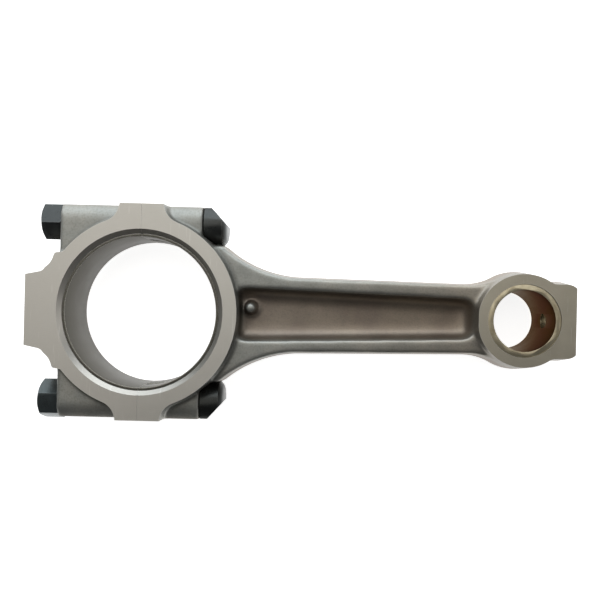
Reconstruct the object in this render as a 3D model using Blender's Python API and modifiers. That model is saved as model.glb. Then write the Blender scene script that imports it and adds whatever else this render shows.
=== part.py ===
"""Connecting rod of a small engine: forged rod, bolted cap, bush, two bearing shells, bolts and nuts.

The rod lies flat. X runs from the big end to the small end, Z is the axis of both bores and Z = 0 is the
face that it rests on. Drawing coordinates are millimetres from the crankpin axis. One parent empty moves
the whole drawing so that the middle of the part's box stands on the world origin.
"""

import math

import bmesh
import bpy
from mathutils import Matrix, Vector

MM = 0.001

# Driving dimensions, in millimetres
CENTRES = 148.5            # crankpin axis to wrist-pin axis
WIDTH = 28.0               # both ends, face to face
MID = WIDTH / 2            # the forging's parting plane
DRAFT = math.radians(7)    # slope of the forged sides
GAP = 0.3                  # between neighbouring pieces

BORE_R = 30.5              # big-end housing
BORE_CHAMFER = 0.7
RING_R = 37.7              # big-end thrust face
SIDE_Y = 41.9              # machined flanks at the parting joint
LUG_X = 8.5                # half-length of the joint's full-width lugs
BOLT_Y = 35.8
BOLT_R = 4.0
BOLT_HOLE_R = 4.35
BOSS_R = 9.5               # forged boss round each bolt
ROD_SEAT_X = 22.7          # bolt heads bear here
CAP_SEAT_X = -33.0         # nuts bear here
TAB_END_X = -44.2
TAB_HALF = 13.7

SHELL_IN_R = 29.2
SHELL_OUT_R = BORE_R - GAP
SHELL_WIDTH = 25.6
TANG_WIDTH = 4.5
TANG_LENGTH = 4.3
TANG_Z = 5.8               # middle of the tang

SMALL_R = 19.8             # small-end forging at the parting plane
SMALL_BORE_R = 14.3
SMALL_CHAMFER = 0.6
BUSH_OUT_R = SMALL_BORE_R - GAP
BUSH_IN_R = 12.0
NOSE_END_X = 168.4         # milled flat, so the forging is a little longer
NOSE_STOCK = 3.0
NOSE_HALF = 15.3
OIL_HOLE_R = 3.2

FLANGE_HALF = 10.0         # half-depth of the beam
POCKET_DEPTH = 7.5
POCKET_SLOPE = 1.2         # how far the pocket's wall leans in
POCKET_HALF_BIG = 11.2
POCKET_HALF_SMALL = 8.2
NECK_X = 63.0              # the flare to the big end starts here
NECK_HALF = 15.5
WAIST_X = 127.4            # the flare to the small end starts here
WAIST_HALF = 14.4
BIG_FLARE_R = 48.0
SMALL_FLARE_R = 25.0
PIP_X = 41.8
PIP_Y = 2.6
PIP_R = 2.9

HEAD_R = 8.6
HEAD_LENGTH = 10.2
HEAD_BEVEL = 2.2
HEAD_SLANT = 48.0          # degrees, the head's outer corner
HEAD_ROOM = 0.6            # between the head and its spot-face
BOLT_LEAD = 0.8            # chamfer on the bolt's tail
BOLT_BEYOND = 0.3          # the tail stops this far inside the nut's outer face
NUT_FLATS = 14.0
NUT_LENGTH = 8.6
NUT_FALL = 0.9             # height of the rounding at the nut's outer corners
UPPER_NUT_TURN = math.radians(-9)
LOWER_NUT_TURN = math.radians(21)

BUSH_EDGE = 0.5
BUSH_SIDE = 0.3            # the bush lies this far below each face
PIP_BELOW = 1.5            # top of the pip below the flange faces
PIP_EDGE = 1.5             # height of the pip's bevel
FILLET = 8.0               # between the lugs and the thrust ring
OVERRUN = 9.0              # how far a cutter passes through the face it cuts
FAR = 230.0                # clear of the whole part

STEPS = 64                 # sides of a large round piece
SMALL_STEPS = 32
HOLE_STEPS = 24
FINE_STEPS = 20


def nut_reach(turn):
    """How far a nut's outermost corner stands from the bolt's axis across the rod."""
    corner = NUT_FLATS / math.sqrt(3)
    return corner * max(abs(math.sin(turn + math.radians(60 * k))) for k in range(6))


BOX_MID_X = (NOSE_END_X + TAB_END_X) / 2
BOX_MID_Y = (nut_reach(UPPER_NUT_TURN) - nut_reach(LOWER_NUT_TURN)) / 2


def clear_scene():
    for ob in list(bpy.data.objects):
        bpy.data.objects.remove(ob, do_unlink=True)


def new_collection(name):
    made = bpy.data.collections.new(name)
    bpy.context.scene.collection.children.link(made)
    return made


def new_material(name, colour, roughness, metallic):
    made = bpy.data.materials.new(name)
    made.use_nodes = True
    shader = made.node_tree.nodes["Principled BSDF"]
    shader.inputs["Base Color"].default_value = (*colour, 1)
    shader.inputs["Roughness"].default_value = roughness
    shader.inputs["Metallic"].default_value = metallic
    return made


def place(mesh, name, collection, at=(0, 0, 0), turn=None):
    """An object from a mesh drawn in millimetres round its own origin."""
    mesh.transform(Matrix.Scale(MM, 4))
    mesh.shade_smooth()
    mesh.set_sharp_from_angle(angle=math.radians(30))
    made = bpy.data.objects.new(name, mesh)
    made.location = Vector(at) * MM
    if turn:
        made.rotation_euler = turn
    made.parent = drawing
    collection.objects.link(made)
    return made


def as_mesh(bm, name):
    bmesh.ops.recalc_face_normals(bm, faces=bm.faces)
    mesh = bpy.data.meshes.new(name)
    bm.to_mesh(mesh)
    bm.free()
    return mesh


def block(low, high):
    """A box mesh between two corners."""
    bm = bmesh.new()
    size = Vector(high) - Vector(low)
    middle = (Vector(high) + Vector(low)) / 2
    bmesh.ops.create_cube(bm, size=1, matrix=Matrix.Translation(middle) @ Matrix.Diagonal((*size, 1)))
    return as_mesh(bm, "block")


def rod_along_x(radius, x_low, x_high, steps=SMALL_STEPS):
    """A cylinder mesh along X."""
    bm = bmesh.new()
    lie = Matrix.Translation(((x_low + x_high) / 2, 0, 0)) @ Matrix.Rotation(math.pi / 2, 4, "Y")
    bmesh.ops.create_cone(
        bm, cap_ends=True, segments=steps, radius1=radius, radius2=radius, depth=x_high - x_low, matrix=lie
    )
    return as_mesh(bm, "rod")


def drafted(outline, half_height, slope=math.tan(DRAFT)):
    """A forging from its outline at the parting plane, leaning in towards both faces."""
    bm = bmesh.new()
    face = bm.faces.new([bm.verts.new((x, y, 0)) for x, y in outline])
    bm.normal_update()
    if face.normal.z < 0:
        face.normal_flip()
    bmesh.ops.inset_region(
        bm,
        faces=[face],
        thickness=half_height * slope,
        depth=half_height,
        use_even_offset=True,
        use_boundary=True,
    )
    bmesh.ops.mirror(bm, geom=bm.verts[:] + bm.edges[:] + bm.faces[:], axis="Z", merge_dist=1e-4)
    return as_mesh(bm, "forging")


def plate(outline, z_low, z_high):
    """A flat piece of even thickness."""
    bm = bmesh.new()
    face = bm.faces.new([bm.verts.new((x, y, z_low)) for x, y in outline])
    raised = bmesh.ops.extrude_face_region(bm, geom=[face])["geom"]
    moved = [v for v in raised if isinstance(v, bmesh.types.BMVert)]
    bmesh.ops.translate(bm, verts=moved, vec=(0, 0, z_high - z_low))
    return as_mesh(bm, "plate")


def turned(name, profile, steps=STEPS, closed=False):
    """A turned mesh about Z from (radius, height) points that run down its outer side."""
    mesh = bpy.data.meshes.new(name)
    points = [(r, 0, z) for r, z in profile]
    links = [(k, k + 1) for k in range(len(points) - 1)]
    if closed:
        links.append((len(points) - 1, 0))
    mesh.from_pydata(points, links, [])
    maker = bpy.data.objects.new(name, mesh)
    bpy.context.scene.collection.objects.link(maker)
    screw = maker.modifiers.new("turn", "SCREW")
    screw.steps = steps
    screw.render_steps = steps
    screw.use_merge_vertices = True
    screw.merge_threshold = 0.0001
    done = maker.evaluated_get(bpy.context.evaluated_depsgraph_get())
    made = bpy.data.meshes.new_from_object(done)
    bpy.data.objects.remove(maker, do_unlink=True)
    bm = bmesh.new()
    bm.from_mesh(made)
    return as_mesh(bm, name)


def arc(centre, radius, start, end, steps):
    """Points on an arc, angles in degrees."""
    found = []
    for k in range(steps + 1):
        a = math.radians(start + (end - start) * k / steps)
        found.append((centre[0] + radius * math.cos(a), centre[1] + radius * math.sin(a)))
    return found


def both_sides(upper):
    """The outline whose upper half is given from left to right."""
    lower = [(x, -y) for x, y in reversed(upper) if abs(y) > 1e-6]
    return upper + lower


def cut(piece, tool, operation="DIFFERENCE"):
    step = piece.modifiers.new(tool.name, "BOOLEAN")
    step.operation = operation
    step.object = tool
    step.solver = "EXACT"


def tool(mesh, name, at=(0, 0, 0), turn=None):
    made = place(mesh, name, cutters, at, turn)
    made.hide_render = True
    made.display_type = "WIRE"
    return made


# Outlines ------------------------------------------------------------------------------------------------


def beam_outline():
    big = (NECK_X, NECK_HALF + BIG_FLARE_R)
    start = 270 - math.degrees(math.asin((NECK_X - 31.0) / BIG_FLARE_R))
    flare = arc(big, BIG_FLARE_R, start, 270, 10)
    reach = SMALL_R + SMALL_FLARE_R
    lean = math.degrees(math.asin((CENTRES - WAIST_X) / reach))
    small = (WAIST_X, WAIST_HALF + SMALL_FLARE_R)
    shoulder = arc(small, SMALL_FLARE_R, 270, 270 + lean, 5)
    upper = [(24.0, flare[0][1])] + flare + shoulder + [(CENTRES, shoulder[-1][1])]
    return both_sides(upper)


def small_end_outline():
    corner = Vector((NOSE_END_X + NOSE_STOCK - CENTRES, NOSE_HALF))
    lean = math.degrees(math.atan2(corner.y, corner.x) + math.acos(SMALL_R / corner.length))
    upper = arc((CENTRES, 0), SMALL_R, 180, lean, 16) + [(CENTRES + corner.x, corner.y)]
    return both_sides(upper)


def pocket_outline():
    clear_big = RING_R + 0.5
    clear_small = SMALL_R - 0.5
    big_lean = math.degrees(math.asin(POCKET_HALF_BIG / clear_big))
    small_lean = math.degrees(math.asin(POCKET_HALF_SMALL / clear_small))
    left = arc((0, 0), clear_big, 0, big_lean, 3)
    right = arc((CENTRES, 0), clear_small, 180 - small_lean, 180, 3)
    upper = left + right
    return both_sides(rounded(upper, {3: 2.4, 4: 1.8}))


def rounded(points, radii, steps=4):
    """The same open outline with some corners rounded, each to its own radius."""
    made = []
    for k, point in enumerate(points):
        if k not in radii:
            made.append(point)
            continue
        radius = radii[k]
        here = Vector(point)
        back = (Vector(points[k - 1]) - here).normalized()
        ahead = (Vector(points[k + 1]) - here).normalized()
        half = back.angle(ahead) / 2
        middle = here + (back + ahead).normalized() * radius / math.sin(half)
        first = here + back * radius / math.tan(half)
        last = here + ahead * radius / math.tan(half)
        for j in range(steps + 1):
            way = (first - middle).lerp(last - middle, j / steps).normalized()
            made.append(tuple(middle + way * radius))
    return made


def lug_outline():
    """The full-width lugs at the joint, with a hollow curve down to the thrust ring."""
    reach = RING_R + FILLET
    lean = math.degrees(math.asin((LUG_X + FILLET) / reach))
    height = reach * math.cos(math.radians(lean))
    curve = arc((LUG_X + FILLET, height), FILLET, 180, 270 - lean, 5)
    right = [(LUG_X, SIDE_Y + 3)] + curve
    left = [(-x, y) for x, y in reversed(right)]
    return both_sides(left + right)


def tab_outline():
    """The cap's weight pad, spreading into the ring."""
    flare = (-36.4, 15.7)
    curve = arc((-39.6, 23.6), 7.0, -62, 4, 6)
    upper = [(TAB_END_X, TAB_HALF), flare] + curve + [(-27.0, 26.5)]
    return both_sides(upper)


# Construction solids -------------------------------------------------------------------------------------


def add_bosses(piece, x_low, x_high):
    for side, label in ((1, "upper"), (-1, "lower")):
        round_part = rod_along_x(BOSS_R, x_low, x_high)
        cut(piece, tool(round_part, f"{piece.name}_{label}_boss", (0, side * BOLT_Y, MID)), "UNION")
        inner = block((x_low, 16, MID - BOSS_R), (x_high, BOLT_Y, MID + BOSS_R))
        turn = (math.pi, 0, 0) if side < 0 else None
        lift = WIDTH if side < 0 else 0
        cut(piece, tool(inner, f"{piece.name}_{label}_shoulder", (0, 0, lift), turn), "UNION")


def flank_block(side):
    """Everything outside one machined flank."""
    y_low, y_high = sorted((side * SIDE_Y, side * (SIDE_Y + 2 * OVERRUN)))
    return block((TAB_END_X, y_low, -OVERRUN), (-TAB_END_X, y_high, WIDTH + OVERRUN))


def beyond_joint(keep):
    """Everything on the far side of the parting joint. keep is +1 for the rod and -1 for the cap."""
    low, high = sorted((keep * GAP / 2, -keep * FAR))
    return block((low, -FAR, -2 * OVERRUN), (high, FAR, WIDTH + 2 * OVERRUN))


def machine_big_end(piece, keep):
    """Facing, flanks, parting face, housing bore, bolt holes and tang notch."""
    for z_low, z_high, label in ((WIDTH, WIDTH + OVERRUN, "front"), (-OVERRUN, 0, "back")):
        cut(piece, tool(block((-FAR, -FAR, z_low), (FAR, FAR, z_high)), f"{piece.name}_{label}_facing"))
    for side, label in ((1, "upper"), (-1, "lower")):
        cut(piece, tool(flank_block(side), f"{piece.name}_{label}_flank"))
    cut(piece, tool(beyond_joint(keep), f"{piece.name}_parting_cut"))
    cut(piece, tool(bore_cutter(BORE_R, BORE_CHAMFER, STEPS), f"{piece.name}_housing_bore"))
    for side, label in ((1, "upper"), (-1, "lower")):
        hole = rod_along_x(BOLT_HOLE_R, TAB_END_X - OVERRUN, -TAB_END_X + OVERRUN, HOLE_STEPS)
        cut(piece, tool(hole, f"{piece.name}_{label}_bolt_hole", (0, side * BOLT_Y, MID)))
    notch = tang_block(keep, GAP)
    cut(piece, tool(notch, f"{piece.name}_tang_notch"))


def bore_cutter(radius, chamfer, steps):
    over = 2.0
    wide = radius + chamfer + over
    profile = [
        (0, WIDTH + over),
        (wide, WIDTH + over),
        (radius, WIDTH - chamfer),
        (radius, chamfer),
        (wide, -over),
        (0, -over),
    ]
    return turned("bore", profile, steps)


def tang_block(keep, spare):
    """The shell's tang, or with spare the notch that it lies in."""
    x_far = keep * (TANG_LENGTH + spare)
    x_low, x_high = sorted((0 if spare else keep * GAP / 2, x_far))
    half = TANG_WIDTH / 2 + spare
    low = (x_low, SHELL_IN_R + 0.5, TANG_Z - half)
    high = (x_high, BORE_R + 1.0 + spare, TANG_Z + half)
    return block(low, high)


# The pieces ----------------------------------------------------------------------------------------------


def make_rod_body():
    body = place(drafted(beam_outline(), FLANGE_HALF), "rod_body", parts, (0, 0, MID))
    small = drafted(small_end_outline(), MID + 1)
    cut(body, tool(small, "small_end_forging", (0, 0, MID)), "UNION")
    milling = block((NOSE_END_X, -FAR, -OVERRUN), (NOSE_END_X + OVERRUN, FAR, WIDTH + OVERRUN))
    cut(body, tool(milling, "nose_milling"))
    ring = turned("ring", [(0, WIDTH + 1), (RING_R, WIDTH + 1), (RING_R, -1), (0, -1)])
    cut(body, tool(ring, "rod_ring"), "UNION")
    cut(body, tool(plate(lug_outline(), -1, WIDTH + 1), "rod_lugs"), "UNION")
    add_bosses(body, -2, ROD_SEAT_X)
    for side, label in ((1, "upper"), (-1, "lower")):
        seat = rod_along_x(HEAD_R + HEAD_ROOM, ROD_SEAT_X, ROD_SEAT_X + 2 * HEAD_LENGTH)
        cut(body, tool(seat, f"{label}_head_seat", (0, side * BOLT_Y, MID)))
    machine_big_end(body, 1)
    for side, label in ((1, "front"), (-1, "back")):
        hollow = drafted(pocket_outline(), POCKET_DEPTH, POCKET_SLOPE / POCKET_DEPTH)
        cut(body, tool(hollow, f"{label}_pocket", (0, 0, MID + side * FLANGE_HALF)))
    cut(body, tool(bore_cutter(SMALL_BORE_R, SMALL_CHAMFER, STEPS), "small_end_bore", (CENTRES, 0, 0)))
    drill = rod_along_x(OIL_HOLE_R, CENTRES, NOSE_END_X + OVERRUN, FINE_STEPS)
    cut(body, tool(drill, "oil_hole", (0, 0, MID)))
    pip_top = MID + FLANGE_HALF - PIP_BELOW
    shoulder = pip_top - PIP_EDGE
    profile = [(0, pip_top), (PIP_R - 1, pip_top), (PIP_R, shoulder), (PIP_R, MID), (0, MID)]
    pip = turned("pip", profile, FINE_STEPS)
    cut(body, tool(pip, "forging_pip", (PIP_X, PIP_Y, 0)), "UNION")
    return body


def make_cap():
    ring = turned("ring", [(0, WIDTH + 1), (RING_R, WIDTH + 1), (RING_R, -1), (0, -1)])
    cap = place(ring, "bearing_cap", parts)
    cut(cap, tool(plate(lug_outline(), -1, WIDTH + 1), "cap_lugs"), "UNION")
    cut(cap, tool(plate(tab_outline(), -1, WIDTH + 1), "cap_tab"), "UNION")
    add_bosses(cap, CAP_SEAT_X, 2)
    machine_big_end(cap, -1)
    return cap


def make_bush():
    z_low, z_high = BUSH_SIDE, WIDTH - BUSH_SIDE
    profile = [
        (BUSH_OUT_R - BUSH_EDGE, z_high),
        (BUSH_OUT_R, z_high - BUSH_EDGE),
        (BUSH_OUT_R, z_low + BUSH_EDGE),
        (BUSH_OUT_R - BUSH_EDGE, z_low),
        (BUSH_IN_R + BUSH_EDGE, z_low),
        (BUSH_IN_R, z_low + BUSH_EDGE),
        (BUSH_IN_R, z_high - BUSH_EDGE),
        (BUSH_IN_R + BUSH_EDGE, z_high),
    ]
    bush = place(turned("bush", profile, STEPS, closed=True), "small_end_bush", parts, (CENTRES, 0, 0))
    drill = rod_along_x(OIL_HOLE_R, CENTRES, NOSE_END_X, FINE_STEPS)
    cut(bush, tool(drill, "bush_oil_hole", (0, 0, MID)))
    return bush


def make_shell(name, keep):
    z_low = (WIDTH - SHELL_WIDTH) / 2
    z_high = z_low + SHELL_WIDTH
    profile = [(SHELL_OUT_R, z_high), (SHELL_OUT_R, z_low), (SHELL_IN_R, z_low), (SHELL_IN_R, z_high)]
    shell = place(turned("shell", profile, STEPS, closed=True), name, parts)
    cut(shell, tool(tang_block(keep, 0), f"{name}_tang"), "UNION")
    cut(shell, tool(beyond_joint(keep), f"{name}_split"))
    return shell


def make_bolt(name, side):
    """A plain bolt along X. The head is a D with a slanted outer corner."""
    head_x = ROD_SEAT_X + GAP
    head_end = head_x + HEAD_LENGTH
    tail = CAP_SEAT_X - GAP - NUT_LENGTH + BOLT_BEYOND
    profile = [
        (0, head_end),
        (HEAD_R - HEAD_BEVEL, head_end),
        (HEAD_R, head_end - HEAD_BEVEL),
        (HEAD_R, head_x),
        (BOLT_R, head_x),
        (BOLT_R, tail + BOLT_LEAD),
        (BOLT_R - BOLT_LEAD, tail),
        (0, tail),
    ]
    lie = (0, math.pi / 2, 0)
    bolt = place(turned(name, profile, SMALL_STEPS), name, parts, (0, side * BOLT_Y, MID), lie)
    cut(bolt, tool(flank_block(side), f"{name}_flank"))
    slant = block((-2 * HEAD_R, 0, -2 * HEAD_R), (2 * HEAD_R, 2 * HEAD_R, 2 * HEAD_R))
    lean = (0, 0, side * math.radians(-HEAD_SLANT) + (math.pi if side < 0 else 0))
    cut(bolt, tool(slant, f"{name}_slant", (head_end, side * (BOLT_Y - 0.6), MID), lean))
    return bolt


def make_nut(name, side, turn):
    corner = NUT_FLATS / math.sqrt(3)
    bm = bmesh.new()
    lie = Matrix.Rotation(turn, 4, "X") @ Matrix.Rotation(math.pi / 2, 4, "Y")
    hexagon = bmesh.ops.create_cone(
        bm, cap_ends=True, segments=6, radius1=corner, radius2=corner, depth=NUT_LENGTH, matrix=lie
    )
    bmesh.ops.rotate(
        bm, verts=hexagon["verts"], cent=(0, 0, 0), matrix=Matrix.Rotation(first_corner(bm, turn), 3, "X")
    )
    middle = CAP_SEAT_X - GAP - NUT_LENGTH / 2
    nut = place(as_mesh(bm, name), name, parts, (middle, side * BOLT_Y, MID))
    half = NUT_LENGTH / 2
    round_off = turned(
        "round_off",
        [
            (0, half),
            (corner - 1.3, half),
            (corner + 0.2, half - NUT_FALL),
            (corner + 0.2, -half + 0.4),
            (corner - 0.4, -half),
            (0, -half),
        ],
        SMALL_STEPS,
    )
    shape = tool(round_off, f"{name}_round_off", (middle, side * BOLT_Y, MID), (0, -math.pi / 2, 0))
    cut(nut, shape, "INTERSECT")
    thread = rod_along_x(BOLT_R + GAP, -NUT_LENGTH, NUT_LENGTH, HOLE_STEPS)
    cut(nut, tool(thread, f"{name}_thread", (middle, side * BOLT_Y, MID)))
    return nut


def first_corner(bm, turn):
    """How far to turn a hexagon about X so that one corner stands at turn from straight up."""
    bm.verts.ensure_lookup_table()
    corner = bm.verts[0].co
    now = math.atan2(corner.y, corner.z)
    return now - turn


clear_scene()
drawing = bpy.data.objects.new("drawing", None)
bpy.context.scene.collection.objects.link(drawing)
drawing.location = (-BOX_MID_X * MM, -BOX_MID_Y * MM, 0)
parts = new_collection("connecting_rod")
cutters = new_collection("cutters")

steel = {
    "forged_steel": ((0.37, 0.34, 0.30), 0.45, 0.8),
    "cap_steel": ((0.38, 0.35, 0.31), 0.42, 0.8),
    "black_steel": ((0.045, 0.045, 0.043), 0.4, 0.6),
    "bronze": ((0.32, 0.23, 0.12), 0.4, 0.9),
    "bearing_overlay": ((0.20, 0.20, 0.18), 0.45, 0.7),
}
made = {
    "forged_steel": [make_rod_body()],
    "cap_steel": [make_cap()],
    "bronze": [make_bush()],
    "bearing_overlay": [make_shell("upper_bearing_shell", 1), make_shell("lower_bearing_shell", -1)],
    "black_steel": [
        make_bolt("upper_rod_bolt", 1),
        make_bolt("lower_rod_bolt", -1),
        make_nut("upper_rod_nut", 1, UPPER_NUT_TURN),
        make_nut("lower_rod_nut", -1, LOWER_NUT_TURN),
    ],
}
for slot, pieces in made.items():
    for piece in pieces:
        piece.data.materials.append(new_material(f"{piece.name}_{slot}"[:60], *steel[slot]))
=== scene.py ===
"""Connecting rod of a small engine: the finished look of the rod, its cap, bush, shells, bolts and nuts."""

import math

import bmesh
import bpy
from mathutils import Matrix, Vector


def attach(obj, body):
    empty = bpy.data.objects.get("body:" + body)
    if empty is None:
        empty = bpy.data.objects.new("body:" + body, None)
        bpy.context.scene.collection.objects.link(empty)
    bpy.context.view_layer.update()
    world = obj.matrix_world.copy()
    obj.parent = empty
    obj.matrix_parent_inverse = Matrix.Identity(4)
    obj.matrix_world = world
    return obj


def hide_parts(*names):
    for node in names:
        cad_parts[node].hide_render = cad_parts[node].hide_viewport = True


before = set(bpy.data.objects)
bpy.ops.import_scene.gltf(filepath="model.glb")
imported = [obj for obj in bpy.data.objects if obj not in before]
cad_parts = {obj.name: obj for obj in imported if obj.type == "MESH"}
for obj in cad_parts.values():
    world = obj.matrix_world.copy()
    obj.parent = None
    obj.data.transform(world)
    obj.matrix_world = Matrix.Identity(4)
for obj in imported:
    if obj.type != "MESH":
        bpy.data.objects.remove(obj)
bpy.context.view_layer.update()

# The table, the camera and the light ---------------------------------------------------------------------
# The rod lies flat on a pale table and is seen from straight above. A broad soft window stands past its
# upper edge, a second light hangs overhead, and a small one fills the right side. Lights are in metres.

MM = 0.001
CRANK = Vector((-62.1, 0.2187, 0.0))       # the crankpin axis, in millimetres from the middle of the box

TABLE_SIZE = 6.0
TABLE_TOP = -0.0001        # a hair under the rod, so that the two faces don't fight

bpy.ops.object.select_all(action="DESELECT")
bpy.ops.mesh.primitive_plane_add(size=TABLE_SIZE, location=(0, 0, TABLE_TOP))
table = bpy.context.object
table.name = "table"
white = bpy.data.materials.new("table_white")
white.use_nodes = True
paint = white.node_tree.nodes["Principled BSDF"]
paint.inputs["Base Color"].default_value = (0.92, 0.92, 0.92, 1)
paint.inputs["Roughness"].default_value = 0.9
paint.inputs["Specular IOR Level"].default_value = 0.1
paint.inputs["Emission Color"].default_value = (1, 1, 1, 1)
paint.inputs["Emission Strength"].default_value = 0.85
table.data.materials.append(white)

CAMERA_AT = (3.62, 2.90, 274.15)
CAMERA_ROLL = 1.33
lens = bpy.data.cameras.new("camera")
lens.sensor_width = 36.0
lens.lens = 38.4
lens.shift_x = -0.0167
lens.shift_y = 0.015
lens.clip_start = 0.01
camera = bpy.data.objects.new("camera", lens)
camera.location = Vector(CAMERA_AT) * MM
camera.rotation_euler = (0, 0, math.radians(CAMERA_ROLL))
bpy.context.scene.collection.objects.link(camera)
bpy.context.scene.camera = camera
bpy.context.scene.view_settings.view_transform = "Standard"


def soft_light(name, at, aim, size, power, colour):
    lamp = bpy.data.lights.new(name, "AREA")
    lamp.shape = "RECTANGLE"
    lamp.size, lamp.size_y = size
    lamp.energy = power
    lamp.color = colour
    holder = bpy.data.objects.new(name, lamp)
    holder.location = at
    holder.rotation_euler = (Vector(aim) - Vector(at)).to_track_quat("-Z", "Y").to_euler()
    bpy.context.scene.collection.objects.link(holder)


soft_light("window", (-0.15, 0.95, 0.55), (0, 0, 0), (1.9, 1.1), 17.0, (0.90, 0.96, 1.0))
soft_light("overhead", (-0.12, 0.35, 1.10), (0, 0, 0), (1.9, 0.9), 5.6, (1.0, 0.965, 0.90))
soft_light("right_fill", (0.9, 0.15, 0.45), (0, 0, 0), (0.5, 0.6), 1.2, (1.0, 0.98, 0.95))

sky = bpy.data.worlds.new("room")
sky.use_nodes = True
sky.node_tree.nodes["Background"].inputs["Color"].default_value = (0.85, 0.86, 0.88, 1)
sky.node_tree.nodes["Background"].inputs["Strength"].default_value = 0.08
bpy.context.scene.world = sky


# The rod body --------------------------------------------------------------------------------------------
# One steel forging: an I-section beam between half of the big end and the whole small end. It is forged
# rough, then faced, bored, milled at the joint and the nose, and drilled for its bolts and oil.

WIDTH = 28.0               # both ends, face to face
MID = WIDTH / 2
DRAFT = math.tan(math.radians(7))
STOCK = 3.0                # forged metal left for the machining
HAIR = 0.04                # half of a closed joint
FAR = 120.0                # clear of everything a cutter should miss
OVERRUN = 6.0              # how far a bore's cutter passes through

RING_R = 37.4              # at the faces
SIDE_Y = 41.9
FLANK_REACH = 50.0         # half of the milling's length along the flanks
LUG_X = 8.5                # half of the lug's length at its flat
LUG_HOLLOW = 8.0
LUG_FOOT_Y = 30.0
BOLT_Y = 35.8
BOLT_HOLE_R = 4.3
DRILL_REACH = 70.0
BOSS_R = 9.5
BOSS_TIE_Y = 16.0          # how far in the boss's metal reaches, hidden in the ring
HEAD_SEAT_X = 22.7
SEAT_R = 9.3
HOUSING_R = 30.5
HOUSING_EDGE = 1.6
TANG_LENGTH = 4.3
TANG_HALF = 2.25
TANG_Z = 5.8
TANG_ROOM = 0.25           # the notch is cut that much wider on each side
NOTCH_IN_R, NOTCH_OUT_R = 28.0, 31.7

CENTRES = 148.5
SMALL_R = 19.8             # before its draft
BUSH_SEAT_R = 14.2
NOSE_END_X = 168.4
NOSE_HALF = 16.1
NOSE_CORNER = 4.6
OIL_R = 3.1

BEAM_LOW, BEAM_HIGH = MID - 10.0, MID + 10.0
NECK_X, NECK_HALF, NECK_FLARE = 63.0, 15.5, 48.0
FLARE_START_X, FLARE_ROOT_X = 24.0, 31.0
WAIST_X, WAIST_HALF, WAIST_FLARE = 127.4, 14.4, 25.0
EYE_NECK_HALF = 18.0
POCKET_FLOOR = 2.5         # half of the web's thickness
POCKET_BIG, POCKET_SMALL = 11.2, 8.2       # half-widths at the mouth
POCKET_LEAN = 1.1
POCKET_START_X = 34.0
POCKET_CORNER = 4.2
POCKET_END_X = 132.2       # at the mouth, where it runs out against the small end
POCKET_RAMP = 0.934
PIP = (42.2, 2.6)          # a round mark left by the die
PIP_FOOT, PIP_TOP = 3.5, 1.7

FORGING_GRAIN = 0.55       # size of the skin's faces
PUNCH_SOFTNESS, SKIN_SOFTNESS = 90, 16     # smoothing passes
WARM_FROM, WARM_TO = -10.0, 60.0           # where the brown heat colour comes in along the rod


def named(name):
    made = bpy.context.object
    made.name = name
    made.data.name = name
    return made


def pick(keep):
    """Selects what keep says of a vertex's place, on the mesh in edit mode."""
    bpy.ops.mesh.select_mode(type="VERT")
    mesh = bmesh.from_edit_mesh(bpy.context.object.data)
    for part in (*mesh.faces, *mesh.edges, *mesh.verts):
        part.select_set(False)
    for vertex in mesh.verts:
        if keep(vertex.co):
            vertex.select_set(True)
    mesh.select_flush(True)
    bmesh.update_edit_mesh(bpy.context.object.data)


def squeeze(keep, value, middle):
    pick(keep)
    bpy.ops.transform.resize(value=value, center_override=middle)


def lean_in(low, high, middle, half_x, half_y, lean):
    """Draws both ends in from a new edge loop at the middle, so that the sides have draft."""
    height = (high - low) / 2
    bpy.ops.mesh.select_all(action="SELECT")
    bpy.ops.mesh.bisect(plane_co=middle, plane_no=(0, 0, 1))
    value = (1 - height * lean / half_x, 1 - height * lean / half_y, 1)
    for end in (low, high):
        squeeze(lambda co: abs(co.z - end) < 0.01, value, (middle[0], middle[1], end))


def block(name, low, high, lean=0.0, far_half=None):
    """A block between two corners. far_half is its half-width at the far end where that differs."""
    size = Vector(high) - Vector(low)
    middle = (Vector(high) + Vector(low)) / 2
    bpy.ops.mesh.primitive_cube_add(size=1, location=middle, scale=size)
    made = named(name)
    bpy.ops.object.transform_apply()
    bpy.ops.object.mode_set(mode="EDIT")
    if far_half:
        narrowing = (1, far_half / (size.y / 2), 1)
        squeeze(lambda co: co.x > high[0] - 0.01, narrowing, (high[0], middle.y, middle.z))
    if lean:
        lean_in(low[2], high[2], middle, size.x / 2, size.y / 2, lean)
    bpy.ops.object.mode_set(mode="OBJECT")
    return made


def bar(name, radius, low, high, at=(0, 0), along="Z", sides=128, lean=0.0):
    """A round bar along an axis, from low to high. at is its place across that axis."""
    middle = (low + high) / 2
    spot = {"Z": (at[0], at[1], middle), "X": (middle, at[0], at[1])}[along]
    turn = {"Z": (0, 0, 0), "X": (0, math.pi / 2, 0)}[along]
    bpy.ops.mesh.primitive_cylinder_add(
        vertices=sides, radius=radius, depth=high - low, location=spot, rotation=turn
    )
    made = named(name)
    bpy.ops.object.transform_apply()
    if lean:
        bpy.ops.object.mode_set(mode="EDIT")
        lean_in(low, high, spot, radius, radius, lean)
        bpy.ops.object.mode_set(mode="OBJECT")
    return made


def activate(piece):
    bpy.ops.object.select_all(action="DESELECT")
    piece.select_set(True)
    bpy.context.view_layer.objects.active = piece


def finish_step(piece, kind, settings):
    """Adds one modifier and applies it."""
    activate(piece)
    step = piece.modifiers.new(kind.lower(), kind)
    for key, value in settings.items():
        setattr(step, key, value)
    bpy.ops.object.modifier_apply(modifier=step.name)


def combine(piece, tools, operation, **settings):
    for tool in tools:
        settings.update(operation=operation, object=tool, solver="EXACT")
        finish_step(piece, "BOOLEAN", settings)
        bpy.data.objects.remove(tool, do_unlink=True)
    return piece


def weld(piece, *tools):
    return combine(piece, tools, "UNION")


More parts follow.
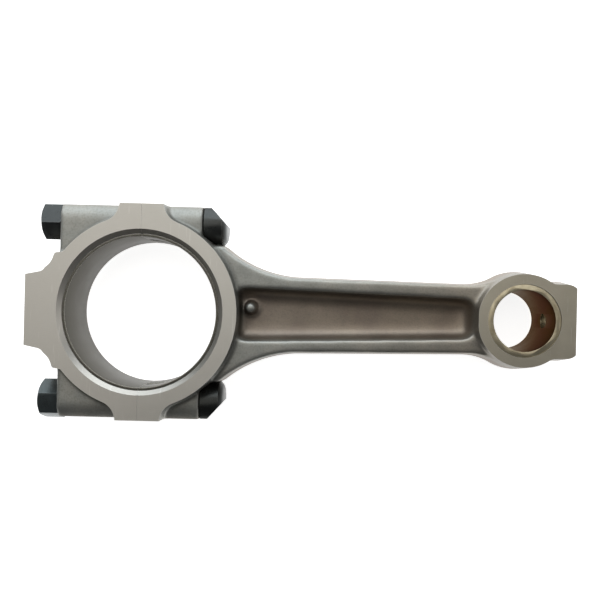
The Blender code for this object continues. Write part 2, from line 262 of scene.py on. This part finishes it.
def carve(piece, *tools):
    return combine(piece, tools, "DIFFERENCE")


def soften(piece, width, segments=2, angle=30.0):
    """Breaks the sharp edges."""
    limit = {"limit_method": "ANGLE", "angle_limit": math.radians(angle)}
    finish_step(piece, "BEVEL", {"width": width, "segments": segments, **limit})
    return piece


def forge(piece, softness):
    """Gives a rough solid one even skin and rounds its corners and hollows, as a die does."""
    settings = {"mode": "VOXEL", "voxel_size": FORGING_GRAIN, "adaptivity": 0.0, "use_smooth_shade": True}
    finish_step(piece, "REMESH", settings)
    finish_step(piece, "SMOOTH", {"factor": 0.5, "iterations": softness})
    return piece


def machine(piece, finish, *tools):
    """Cuts clean faces with all the tools at once. The cut faces take the second finish."""
    cutter = weld(*tools)
    cutter.data.materials.clear()
    cutter.data.materials.append(finish.material)
    combine(piece, [cutter], "DIFFERENCE", material_mode="TRANSFER")


def place(piece, angle=30.0):
    """Millimetres from the crankpin axis to metres in the frame, with the place in the mesh."""
    activate(piece)
    piece.scale = (MM, MM, MM)
    piece.location = CRANK * MM
    bpy.ops.object.transform_apply(location=True, rotation=True, scale=True)
    bpy.ops.object.shade_smooth_by_angle(angle=math.radians(angle))


class Value:
    """A shader socket that takes part in sums. Each operator adds one Math node."""

    def __init__(self, finish, socket):
        self.finish = finish
        self.socket = socket

    def sum(self, operation, *terms, clamp=False):
        names = dict(enumerate(terms))
        return self.finish.node("ShaderNodeMath", {"operation": operation, "use_clamp": clamp}, names)

    def __add__(self, other):
        return self.sum("ADD", self, other)

    __radd__ = __add__

    def __sub__(self, other):
        return self.sum("SUBTRACT", self, other)

    def __rsub__(self, other):
        return self.sum("SUBTRACT", other, self)

    def __mul__(self, other):
        return self.sum("MULTIPLY", self, other)

    __rmul__ = __mul__

    def __pow__(self, other):
        return self.sum("POWER", self, other)

    def __abs__(self):
        return self.sum("ABSOLUTE", self)

    def above(self, edge, blur):
        """0 below edge and 1 above it, with a soft step of that width."""
        return self.sum("MULTIPLY", self - (edge - blur / 2), 1 / blur, clamp=True)


class Finish:
    """One material with its nodes."""

    def __init__(self, name, **constants):
        self.material = bpy.data.materials.new(name)
        self.material.use_nodes = True
        self.tree = self.material.node_tree
        self.shader = self.tree.nodes["Principled BSDF"]
        for key, value in constants.items():
            self.shader.inputs[key.replace("_", " ")].default_value = value
        self.place = self.node("ShaderNodeTexCoord", {}, {}, "Object")

    def node(self, kind, settings, values, output=0):
        """Adds a node: its settings first, then a number, a colour or a link for each socket."""
        made = self.tree.nodes.new(kind)
        for key, value in settings.items():
            setattr(made, key, value)
        for key, value in values.items():
            if isinstance(value, Value):
                self.tree.links.new(value.socket, made.inputs[key])
            else:
                made.inputs[key].default_value = value
        return Value(self, made.outputs[output])

    def noise(self, size, detail=3.0, rough=0.5, stretch=None):
        """Noise from 0 to 1 whose lumps are about size millimetres across."""
        spot = self.place
        if stretch:
            spot = self.node("ShaderNodeVectorMath", {"operation": "MULTIPLY"}, {0: spot, 1: stretch})
        values = {"Vector": spot, "Scale": 1000.0 / size, "Detail": detail, "Roughness": rough}
        return self.node("ShaderNodeTexNoise", {}, values, "Fac")

    def mix(self, low, high, factor):
        """From colour low to colour high."""
        values = {0: factor}
        for key, colour in ((6, low), (7, high)):
            values[key] = colour if isinstance(colour, Value) else (*colour, 1)
        return self.node("ShaderNodeMix", {"data_type": "RGBA"}, values, 2)

    def edges(self, width):
        """1 on sharp edges, falling to 0 at that many millimetres from them."""
        true = self.node("ShaderNodeNewGeometry", {}, {}, "Normal")
        soft = self.node("ShaderNodeBevel", {"samples": 4}, {"Radius": width * MM})
        alike = self.node("ShaderNodeVectorMath", {"operation": "DOT_PRODUCT"}, {0: true, 1: soft}, "Value")
        return (1 - alike).above(0.1, 0.2)

    def feed(self, **links):
        for key, value in links.items():
            self.tree.links.new(value.socket, self.shader.inputs[key.replace("_", " ")])

    def bump(self, height, strength, depth):
        values = {"Height": height, "Strength": strength, "Distance": depth * MM}
        return self.node("ShaderNodeBump", {}, values)

    def along(self, axis, origin=0.0):
        """The place along one axis, in millimetres from origin."""
        split = self.node("ShaderNodeSeparateXYZ", {}, {"Vector": self.place}, axis)
        return split * 1000.0 - origin

    def distance_from(self, centre):
        """The distance from an upright axis, in millimetres."""
        x, y = self.along("X", centre.x), self.along("Y", centre.y)
        return (x * x + y * y) ** 0.5


def forged_finish(name):
    """Shot-blasted forging skin: grey scale with brown heat colour and a fine pitted grain."""
    steel = Finish(name, Metallic=0.75)
    blotch = steel.noise(14.0, 4.0, 0.6)
    speck = steel.noise(0.7, 2.0, 0.6)
    warmth = steel.along("X").above((WARM_FROM + WARM_TO) / 2, WARM_TO - WARM_FROM)
    recess = 1 - abs(steel.along("Z", MID)).above(7.0, 3.0)
    from_crank = steel.distance_from(CRANK)
    # Painted shade: a dark band at the foot of the ring, and a darkening of the pocket beside the ring, stand
    # for the shade of the ring's wall.
    ring_foot_shade = 1 - abs(from_crank - RING_R - 1.1).above(1.0, 1.2)
    ring_shade = recess * (1 - from_crank.above(RING_R + 4.0, 5.0))
    grey = steel.mix((0.235, 0.24, 0.225), (0.32, 0.325, 0.305), blotch.above(0.5, 0.3))
    brown = steel.mix((0.20, 0.17, 0.135), (0.28, 0.245, 0.20), blotch.above(0.5, 0.3))
    rust = steel.mix((0.17, 0.125, 0.095), (0.23, 0.18, 0.135), steel.noise(22.0, 3.0, 0.5).above(0.5, 0.2))
    skin = steel.mix(grey, brown, warmth * 0.6 + blotch.above(0.56, 0.2) * 0.25)
    skin = steel.mix(skin, rust, recess * 0.75)
    pitted = steel.mix(skin, (0.13, 0.12, 0.10), speck.above(0.60, 0.3) * 0.35)
    # The skin with that painted shade mixed in.
    skin_with_painted_shade = steel.mix(pitted, (0.035, 0.035, 0.028), ring_foot_shade * 0.45 + ring_shade * 0.30)
    # Edges painted lighter: partly wear, partly painted highlight along the rims.
    edge_wear_and_highlight = steel.edges(1.3)
    steel.feed(Base_Color=steel.mix(skin_with_painted_shade, (0.58, 0.57, 0.54), edge_wear_and_highlight * 0.6))
    steel.feed(Roughness=0.33 + blotch * 0.12 + speck * 0.06)
    pits = steel.node("ShaderNodeTexVoronoi", {}, {"Vector": steel.place, "Scale": 1500.0}, "Distance")
    grain = steel.noise(0.45, 3.0, 0.6)
    steel.feed(Normal=steel.bump(grain * 0.6 + pits * 0.4, 0.35, 0.10))
    return steel


def machined_finish(name, tint=(1.0, 0.965, 0.89)):
    """Ground steel: fine lay lines, light scratches and a few dull marks, stained by oil at the small end."""
    steel = Finish(name, Metallic=0.85)
    lay = steel.noise(0.25, 4.0, 0.7, stretch=(0.05, 1.0, 1.0))
    cloud = steel.noise(11.0, 3.0, 0.55)
    scratch = steel.noise(0.6, 2.0, 0.5, stretch=(1.0, 0.05, 0.05)).above(0.70, 0.06)
    dull = tuple(0.42 * part for part in tint)
    bright = tuple(0.54 * part for part in tint)
    ground = steel.mix(dull, bright, cloud * 0.6 + lay * 0.4)
    stained = steel.mix((0.33, 0.30, 0.235), (0.47, 0.43, 0.345), cloud * 0.6 + lay * 0.4)
    ground = steel.mix(ground, stained, steel.along("X").above(62.0, 20.0) * 0.9)
    # Edges painted lighter: partly wear, partly painted highlight where small chamfers would catch the light.
    edge_wear_and_highlight = steel.edges(0.4)
    steel.feed(Base_Color=steel.mix(ground, (0.72, 0.71, 0.68), scratch * 0.25 + edge_wear_and_highlight * 0.5))
    steel.feed(Roughness=0.30 + cloud * 0.14 + lay * 0.08 - scratch * 0.06)
    steel.feed(Normal=steel.bump(lay, 0.25, 0.02))
    return steel


def lug(name, side):
    """The full-width lug at the joint, hollowed down to the ring."""
    reach = RING_R + LUG_HOLLOW
    across = LUG_X + LUG_HOLLOW
    height = math.sqrt(reach**2 - across**2)
    y_low, y_high = sorted((side * LUG_FOOT_Y, side * (SIDE_Y + STOCK)))
    half = across * RING_R / reach
    made = block(name, (-half, y_low, -STOCK), (half, y_high, WIDTH + STOCK))
    hollow_r = LUG_HOLLOW - MID * DRAFT
    hollows = [
        bar("hollow", hollow_r, -2 * STOCK, WIDTH + 2 * STOCK, (x, side * height), lean=-DRAFT)
        for x in (-across, across)
    ]
    trims = [
        block("trim", (x - LUG_HOLLOW, min(side * height, side * FAR), -2 * STOCK),
              (x + LUG_HOLLOW, max(side * height, side * FAR), WIDTH + 2 * STOCK))
        for x in (-across, across)
    ]
    return carve(made, *hollows, *trims)


def boss(name, side, x_low, x_high):
    """The round boss that a bolt passes through, with the metal that ties it to the ring."""
    made = bar(name, BOSS_R, x_low, x_high, (side * BOLT_Y, MID), "X", 64)
    y_low, y_high = sorted((side * BOSS_TIE_Y, side * BOLT_Y))
    return weld(made, block("tie", (x_low, y_low, MID - BOSS_R), (x_high, y_high, MID + BOSS_R)))


def big_end(name, x_low, x_high):
    """Rough half of the big end, before it is split from its other half."""
    ring = bar(name, RING_R + MID * DRAFT, -STOCK, WIDTH + STOCK, sides=192, lean=DRAFT)
    bosses = [boss("boss", side, x_low, x_high) for side in (1, -1)]
    return weld(ring, *bosses, lug("lug", 1), lug("lug", -1))


def joint_tools(keep):
    """The cutters that both halves of the big end share. keep is +1 for the rod and -1 for the cap."""
    split = sorted((keep * HAIR, -keep * 2 * FAR))
    tools = [
        block("front_facing", (-2 * FAR, -FAR, WIDTH), (2 * FAR, FAR, WIDTH + 3 * STOCK)),
        block("back_facing", (-2 * FAR, -FAR, -3 * STOCK), (2 * FAR, FAR, 0)),
        block("upper_flank", (-FLANK_REACH, SIDE_Y, -4 * STOCK), (FLANK_REACH, FAR, WIDTH + 4 * STOCK)),
        block("lower_flank", (-FLANK_REACH, -FAR, -4 * STOCK), (FLANK_REACH, -SIDE_Y, WIDTH + 4 * STOCK)),
        block("parting", (split[0], -FAR - 5, -5 * STOCK), (split[1], FAR + 5, WIDTH + 5 * STOCK)),
        bar("housing", HOUSING_R, -OVERRUN, WIDTH + OVERRUN, sides=192),
    ]
    tools.append(cone("back_edge", -2, HOUSING_EDGE, HOUSING_R, HOUSING_R + HOUSING_EDGE + 2))
    tools.append(cone("front_edge", WIDTH - HOUSING_EDGE, WIDTH + 2, HOUSING_R + HOUSING_EDGE + 2, HOUSING_R))
    for side in (1, -1):
        tools.append(bar("bolt_hole", BOLT_HOLE_R, -DRILL_REACH, DRILL_REACH, (side * BOLT_Y, MID), "X", 48))
    notch = sorted((keep * (TANG_LENGTH + 0.2), -keep * 3.0))
    half = TANG_HALF + TANG_ROOM
    low, high = (notch[0], NOTCH_IN_R, TANG_Z - half), (notch[1], NOTCH_OUT_R, TANG_Z + half)
    tools.append(block("tang_notch", low, high))
    return tools


def cone(name, low, high, top, foot, at=(0, 0), sides=192):
    """A cone along Z between two heights."""
    bpy.ops.mesh.primitive_cone_add(
        vertices=sides, radius1=foot, radius2=top, depth=high - low, location=(*at, (low + high) / 2)
    )
    made = named(name)
    bpy.ops.object.transform_apply()
    return made


def beam():
    """The beam with its flares to both ends, drafted to both sides of the forging's middle."""
    low, high = (30.0, -NECK_HALF - 0.6, BEAM_LOW), (WAIST_X + 20, NECK_HALF + 0.6, BEAM_HIGH)
    made = block("rod_body", low, high, DRAFT, WAIST_HALF - 0.35)
    root = NECK_HALF + NECK_FLARE - math.sqrt(NECK_FLARE**2 - (NECK_X - FLARE_ROOT_X) ** 2)
    flare = block("flare", (FLARE_START_X, -root, BEAM_LOW), (NECK_X, root, BEAM_HIGH), DRAFT)
    neck = block("neck", (WAIST_X, -EYE_NECK_HALF, BEAM_LOW), (CENTRES, EYE_NECK_HALF, BEAM_HIGH), DRAFT)
    curves = ((flare, NECK_X, NECK_HALF, NECK_FLARE), (neck, WAIST_X, WAIST_HALF, WAIST_FLARE))
    for piece, x, half, radius in curves:
        spots = [(x, side * (half + radius)) for side in (1, -1)]
        low, high = BEAM_LOW - 1, BEAM_HIGH + 1
        carve(piece, *[bar("hollow", radius, low, high, spot, lean=-DRAFT) for spot in spots])
    return weld(made, flare, neck)


def nose():
    """The balance pad past the small end, with its far corners rounded."""
    made = block("nose", (CENTRES, -NOSE_HALF, -STOCK), (NOSE_END_X + STOCK, NOSE_HALF, WIDTH + STOCK), DRAFT)
    bpy.ops.object.mode_set(mode="EDIT")
    pick(lambda co: co.x > NOSE_END_X - 3)
    mesh = bmesh.from_edit_mesh(made.data)
    bpy.ops.mesh.select_mode(type="EDGE")
    for edge in mesh.edges:
        run = edge.verts[1].co - edge.verts[0].co
        edge.select_set(edge.select and abs(run.z) > abs(run.y))
    bmesh.update_edit_mesh(made.data)
    bpy.ops.mesh.bevel(offset=NOSE_CORNER, segments=5)
    bpy.ops.object.mode_set(mode="OBJECT")
    return made


def pocket(name, side):
    """The forging die's punch for one face: tapered, with leaning walls and well rounded all over."""
    floor = MID + side * POCKET_FLOOR
    mouth = MID + side * (MID + 2)
    z_low, z_high = sorted((floor, mouth))
    low, high = (POCKET_START_X, -POCKET_BIG, z_low), (POCKET_END_X, POCKET_BIG, z_high)
    made = block(name, low, high, 0, POCKET_SMALL)
    bpy.ops.object.mode_set(mode="EDIT")
    floor_share = 1 - 2 * POCKET_LEAN / (POCKET_BIG + POCKET_SMALL)
    squeeze(lambda co: abs(co.z - floor) < 0.01, (POCKET_RAMP, floor_share, 1), (84.0, 0, floor))
    bpy.ops.object.mode_set(mode="OBJECT")
    soften(made, POCKET_CORNER, 6, 60.0)
    carve(made, bar("big_end_side", RING_R + 0.5, z_low - 1, z_high + 1, sides=192))
    return forge(made, PUNCH_SOFTNESS)


forged = forged_finish("forged_steel")
machined = machined_finish("machined_steel")

rod_body = weld(
    beam(),
    bar("small_end", SMALL_R, -STOCK, WIDTH + STOCK, (CENTRES, 0), sides=160, lean=DRAFT),
    nose(),
    big_end("big_end", 0, HEAD_SEAT_X),
)
carve(rod_body, pocket("front_punch", 1), pocket("back_punch", -1))
weld(rod_body, cone("pip", MID, BEAM_HIGH - 1.0, PIP_TOP, PIP_FOOT, PIP, 32))
forge(rod_body, SKIN_SOFTNESS)
rod_body.data.materials.clear()
rod_body.data.materials.append(forged.material)
machine(
    rod_body,
    machined,
    *joint_tools(1),
    block("nose_milling", (NOSE_END_X, -30, -7 * STOCK), (NOSE_END_X + 3 * STOCK, 30, WIDTH + 7 * STOCK)),
    bar("bush_seat", BUSH_SEAT_R, -OVERRUN - 1, WIDTH + OVERRUN + 1, (CENTRES, 0)),
    bar("oil_hole", OIL_R, CENTRES, NOSE_END_X + 12, (0, MID), "X", 40),
    bar("upper_head_seat", SEAT_R, HEAD_SEAT_X, HEAD_SEAT_X + 16, (BOLT_Y, MID), "X", 64),
    bar("lower_head_seat", SEAT_R, HEAD_SEAT_X, HEAD_SEAT_X + 16, (-BOLT_Y, MID), "X", 64),
)
place(rod_body)
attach(rod_body, "rod")
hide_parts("rod_body")


# The bearing cap -----------------------------------------------------------------------------------------
# The other half of the big end, forged from the same steel. Its tab is a weight pad that is milled at the
# end when the rods of one engine are matched.

CAP_SEAT_X = -33.0
TAB_END_X = -44.2
TAB_HALF, TAB_ROOT_HALF = 13.1, 15.4       # before the end is milled, and against the ring
TAB_ROOT_X = -35.9
ROOT_HALF = 22.4
ROOT_HOLLOW, ROOT_HOLLOW_AT = 7.2, (-40.5, 22.6)


def tab():
    """The weight pad, spreading into the ring with a hollow on each side."""
    low, high = (TAB_END_X - STOCK, -TAB_HALF, -STOCK), (TAB_ROOT_X, TAB_HALF, WIDTH + STOCK)
    made = block("tab", low, high, 0, TAB_ROOT_HALF)
    root = block("root", (-37.0, -ROOT_HALF, -STOCK), (-26.0, ROOT_HALF, WIDTH + STOCK))
    x, y = ROOT_HOLLOW_AT
    hollows = [bar("hollow", ROOT_HOLLOW, -2 * STOCK, WIDTH + 2 * STOCK, (x, side * y)) for side in (1, -1)]
    return weld(made, carve(root, *hollows))


cap_forged = forged_finish("cap_forged_steel")
cap_machined = machined_finish("cap_machined_steel", (1.0, 0.96, 0.885))

cap = weld(big_end("cap", CAP_SEAT_X, 0), tab())
forge(cap, SKIN_SOFTNESS)
cap.data.materials.clear()
cap.data.materials.append(cap_forged.material)
tab_milling = block("tab_milling", (TAB_END_X - 3 * STOCK, -30, -7 * STOCK), (TAB_END_X, 30, WIDTH + 7 * STOCK))
machine(cap, cap_machined, *joint_tools(-1), tab_milling)
place(cap)
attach(cap, "cap")
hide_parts("bearing_cap")


# The small-end bush --------------------------------------------------------------------------------------
# A bronze bush pressed into the small end, turned all over and reamed to the wrist pin. Oil reaches the pin
# through a hole that is drilled with it in place.

BUSH_R = 14.12
PIN_R = 12.0
BUSH_SIDE = 0.25           # how far it lies below each face
PIN_SIDE_TINT = (0.46, 0.37, 0.27, 1)      # what bronze gives back at a low angle

bronze = Finish("bronze", Metallic=0.9, Specular_Tint=PIN_SIDE_TINT)
turning = bronze.noise(0.22, 3.0, 0.6, stretch=(0.03, 0.03, 1.0))
tarnish = bronze.noise(4.0, 4.0, 0.6)
fresh = bronze.mix((0.42, 0.37, 0.26), (0.54, 0.49, 0.36), turning)
aged = bronze.mix(fresh, (0.24, 0.19, 0.11), tarnish.above(0.52, 0.3) * 0.5)
# Painted shade: the pin bore is painted near-black brown for the shade inside the small end, and the end faces
# keep the light bronze. The two are told apart by which way the surface faces.
upright = bronze.node("ShaderNodeNewGeometry", {}, {}, "Normal")
end_face = abs(bronze.node("ShaderNodeSeparateXYZ", {}, {"Vector": upright}, "Z")).above(0.4, 0.3)
pin_bore_painted_shade = bronze.mix((0.045, 0.024, 0.009), (0.080, 0.047, 0.020), tarnish * 0.6 + turning * 0.4)
both = bronze.mix(pin_bore_painted_shade, aged, end_face)
bronze.feed(Base_Color=bronze.mix(both, (0.48, 0.43, 0.33), bronze.edges(0.35) * 0.5))
bronze.feed(Roughness=0.28 + tarnish * 0.18)
bronze.feed(Normal=bronze.bump(turning, 0.3, 0.02))

bush = bar("bush", BUSH_R, BUSH_SIDE, WIDTH - BUSH_SIDE, (CENTRES, 0), sides=160)
carve(bush, bar("pin_bore", PIN_R, -2, WIDTH + 2, (CENTRES, 0), sides=160))
carve(bush, bar("oil_drill", OIL_R - 0.1, CENTRES, CENTRES + 20, (0, MID), "X", 40))
soften(bush, 0.45)
bush.data.materials.clear()
bush.data.materials.append(bronze.material)
place(bush)
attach(bush, "rod")
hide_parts("small_end_bush")


# The bearing shells --------------------------------------------------------------------------------------
# Two steel strips bent to half circles and lined with grey bearing metal. A tang on each lies in a notch of
# its half of the housing, and the upper one has the oil groove.

SHELL_OUT_R = HOUSING_R - 0.06             # drawn just clear of its seat
SHELL_IN_R = 29.25
SHELL_LOW, SHELL_HIGH = 1.5, WIDTH - 1.5
GROOVE_DEPTH, GROOVE_HALF = 0.7, 1.8


def overlay_finish(name):
    """Soft grey lining with faint bore marks and polish where the pin has run."""
    lining = Finish(name, Metallic=0.7)
    marks = lining.noise(0.3, 3.0, 0.6, stretch=(0.04, 0.04, 1.0))
    polish = lining.noise(9.0, 3.0, 0.5)
    # Painted shade: the lining's grey is painted very dark, standing for the shade inside the bore.
    grey = lining.mix((0.066, 0.061, 0.049), (0.105, 0.098, 0.080), marks * 0.5 + polish * 0.5)
    lining.feed(Base_Color=lining.mix(grey, (0.62, 0.60, 0.55), lining.edges(0.5) * 0.9))
    lining.feed(Roughness=0.36 + polish * 0.16)
    lining.feed(Normal=lining.bump(marks, 0.25, 0.02))
    return lining


def shell(name, keep, finish):
    made = bar(name, SHELL_OUT_R, SHELL_LOW, SHELL_HIGH, sides=192)
    tang = sorted((0.0, keep * TANG_LENGTH))
    weld(made, block("tang", (tang[0], 29.6, TANG_Z - TANG_HALF), (tang[1], 31.4, TANG_Z + TANG_HALF)))
    carve(made, bar("bore", SHELL_IN_R, -2, WIDTH + 2, sides=192))
    other = sorted((keep * HAIR, -keep * 50.0))
    carve(made, block("other_half", (other[0], -50, -5), (other[1], 50, WIDTH + 5)))
    if keep > 0:
        carve(made, bar("groove", SHELL_IN_R + GROOVE_DEPTH, MID - GROOVE_HALF, MID + GROOVE_HALF, sides=192))
    soften(made, 0.4)
    made.data.materials.clear()
    made.data.materials.append(finish.material)
    place(made)
    return made


upper_shell = shell("upper_shell", 1, overlay_finish("upper_lining"))
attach(upper_shell, "rod")
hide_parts("upper_bearing_shell")

lower_shell = shell("lower_shell", -1, overlay_finish("lower_lining"))
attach(lower_shell, "cap")
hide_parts("lower_bearing_shell")


# The rod bolts -------------------------------------------------------------------------------------------
# High-tensile bolts with a black oxide finish. The round head has one flat side, so that it can't turn, and
# a slanted corner that clears the crankcase. The last part of the shank is threaded.

BOLT_R = 4.0
HEAD_R = 8.6
HEAD_END_X = 31.7
HEAD_BEVEL = 1.6
SLANT = math.radians(48)
TAIL_X = -41.6
THREAD_FROM_X = -23.0
PITCH = 1.0
THREAD_DEPTH = 0.55


def turned_bar(name, stations, at, sides):
    """A bar along X, turned to (x, radius) stations. Each new station is extruded from the last face."""
    (x, radius), (next_x, next_radius) = stations[:2]
    made = bar(name, radius, x, next_x, at, "X", sides)
    bpy.ops.object.mode_set(mode="EDIT")
    squeeze(lambda co: co.x > next_x - 0.001, (1, next_radius / radius, next_radius / radius), (next_x, *at))
    x, radius = next_x, next_radius
    for next_x, next_radius in stations[2:]:
        bpy.ops.mesh.extrude_region_move(TRANSFORM_OT_translate={"value": (next_x - x, 0, 0)})
        scale = next_radius / radius
        bpy.ops.transform.resize(value=(1, scale, scale), center_override=(next_x, *at))
        x, radius = next_x, next_radius
    bpy.ops.object.mode_set(mode="OBJECT")
    return made


def thread(at):
    """One closed ridge wound along the bolt at its pitch."""
    root = BOLT_R - THREAD_DEPTH
    bpy.ops.mesh.primitive_plane_add(size=1, location=(TAIL_X + 0.9, (root + BOLT_R) / 2 - 0.08, 0))
    made = named("thread")
    made.scale = (0.86 * PITCH, THREAD_DEPTH + 0.16, 1)
    bpy.ops.object.transform_apply()
    bpy.ops.object.mode_set(mode="EDIT")
    squeeze(lambda co: co.y > root + 0.2, (0.2, 1, 1), (TAIL_X + 0.9, BOLT_R, 0))
    bpy.ops.mesh.select_all(action="SELECT")
    bpy.ops.mesh.delete(type="ONLY_FACE")
    bpy.ops.object.mode_set(mode="OBJECT")
    turns = round((THREAD_FROM_X - TAIL_X) / PITCH)
    wind = {"axis": "X", "steps": 32, "render_steps": 32, "iterations": turns, "screw_offset": PITCH}
    finish_step(made, "SCREW", wind)
    bpy.ops.object.mode_set(mode="EDIT")
    bpy.ops.mesh.select_all(action="SELECT")
    bpy.ops.mesh.fill_holes(sides=8)
    bpy.ops.mesh.select_all(action="SELECT")
    bpy.ops.mesh.normals_make_consistent(inside=False)
    bpy.ops.object.mode_set(mode="OBJECT")
    made.location = (0, at[0], at[1])
    bpy.ops.object.transform_apply()
    return made


def black_finish(name, edge_wear_and_highlight_amount, tone=(0.045, 0.048, 0.048)):
    """Black oxide: near-black, slightly oily, lighter on its edges, partly rubbed to bare steel and partly
    painted highlight.
    """
    black = Finish(name, Metallic=0.8)
    cloud = black.noise(3.0, 4.0, 0.6)
    grain = black.noise(0.35, 3.0, 0.6)
    deep, pale = (tuple(share * part for part in tone) for share in (0.6, 1.3))
    base = black.mix(deep, pale, cloud * 0.6 + grain * 0.4)
    edge_wear_and_highlight = black.edges(0.45) * (0.4 + cloud * 0.9)
    black.feed(Base_Color=black.mix(base, (0.30, 0.30, 0.29), edge_wear_and_highlight * edge_wear_and_highlight_amount))
    black.feed(Roughness=0.20 + cloud * 0.20 - edge_wear_and_highlight * 0.06)
    black.feed(Normal=black.bump(grain, 0.25, 0.03))
    return black


def bolt(name, side, finish):
    at = (side * BOLT_Y, MID)
    root = BOLT_R - THREAD_DEPTH
    stations = [
        (TAIL_X, root - 0.5),
        (TAIL_X + 0.6, root),
        (THREAD_FROM_X - 0.4, root),
        (THREAD_FROM_X + 0.2, BOLT_R),
        (HEAD_SEAT_X - 1.2, BOLT_R),
        (HEAD_SEAT_X, BOLT_R + 0.25),
        (HEAD_SEAT_X, HEAD_R - 0.5),
        (HEAD_SEAT_X + 0.5, HEAD_R),
        (HEAD_END_X - HEAD_BEVEL, HEAD_R),
        (HEAD_END_X - 0.4, HEAD_R - HEAD_BEVEL + 0.3),
        (HEAD_END_X, HEAD_R - HEAD_BEVEL - 0.5),
    ]
    made = turned_bar(name, stations, at, 64)
    bpy.ops.object.mode_set(mode="EDIT")
    cuts = [
        ((0, side * SIDE_Y, 0), (0, side, 0)),
        ((HEAD_END_X, side * (BOLT_Y - 0.4), 0), (math.sin(SLANT), side * math.cos(SLANT), 0)),
    ]
    for spot, facing in cuts:
        bpy.ops.mesh.select_all(action="SELECT")
        bpy.ops.mesh.bisect(plane_co=spot, plane_no=facing, clear_outer=True, use_fill=True)
    bpy.ops.object.mode_set(mode="OBJECT")
    soften(made, 0.3, 2, 35.0)
    weld(made, thread(at))
    made.data.materials.clear()
    made.data.materials.append(finish.material)
    place(made)
    return made


# Painted light: the upper bolt gets a lighter tone and more edge highlight, as it faces the light from above.
upper_bolt = bolt("upper_bolt", 1, black_finish("upper_bolt_black", 0.6, (0.056, 0.059, 0.058)))
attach(upper_bolt, "rod")
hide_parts("upper_rod_bolt")

# Painted shade: the lower bolt gets a darker tone and less edge highlight, as it lies in shade.
lower_bolt = bolt("lower_bolt", -1, black_finish("lower_bolt_black", 0.3, (0.030, 0.032, 0.031)))
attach(lower_bolt, "rod")
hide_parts("lower_rod_bolt")


# The rod nuts --------------------------------------------------------------------------------------------
# Plain hexagon nuts, black like the bolts. They bear on the cap's milled seats, and each has stopped at the
# angle where its torque was reached.

NUT_FLATS = 14.0
NUT_LENGTH = 8.6
NUT_SEAT_GAP = 0.05
NUT_FALL = 0.9


def nut(name, side, turn, finish):
    at = (side * BOLT_Y, MID)
    corner = NUT_FLATS / math.sqrt(3)
    face = CAP_SEAT_X - NUT_SEAT_GAP
    end = face - NUT_LENGTH
    bpy.ops.mesh.primitive_cylinder_add(
        vertices=6, radius=corner, depth=NUT_LENGTH, rotation=(0, 0, math.radians(30 - turn))
    )
    made = named(name)
    bpy.ops.object.transform_apply()
    made.rotation_euler = (0, math.pi / 2, 0)
    made.location = ((face + end) / 2, *at)
    bpy.ops.object.transform_apply()
    chamfer = [
        (end, corner - 1.5),
        (end + NUT_FALL, corner + 0.05),
        (face - 0.45, corner + 0.05),
        (face, corner - 1.0),
    ]
    combine(made, [turned_bar("chamfer", chamfer, at, 64)], "INTERSECT")
    countersink = [(end - 0.5, BOLT_R + 1.1), (end + 0.6, BOLT_R + 0.03), (face + 0.5, BOLT_R + 0.03)]
    carve(made, turned_bar("countersink", countersink, at, 48))
    soften(made, 0.22, 2, 25.0)
    made.data.materials.clear()
    made.data.materials.append(finish.material)
    place(made)
    return made


upper_nut = nut("upper_nut", 1, -9.0, black_finish("upper_nut_black", 0.5))
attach(upper_nut, "upper_nut")
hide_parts("upper_rod_nut")

# Painted reflection: the lower nut's lighter bluish tone stands for a teal highlight on its facets.
lower_nut = nut("lower_nut", -1, 21.0, black_finish("lower_nut_black", 0.5, (0.082, 0.098, 0.102)))
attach(lower_nut, "lower_nut")
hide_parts("lower_rod_nut")
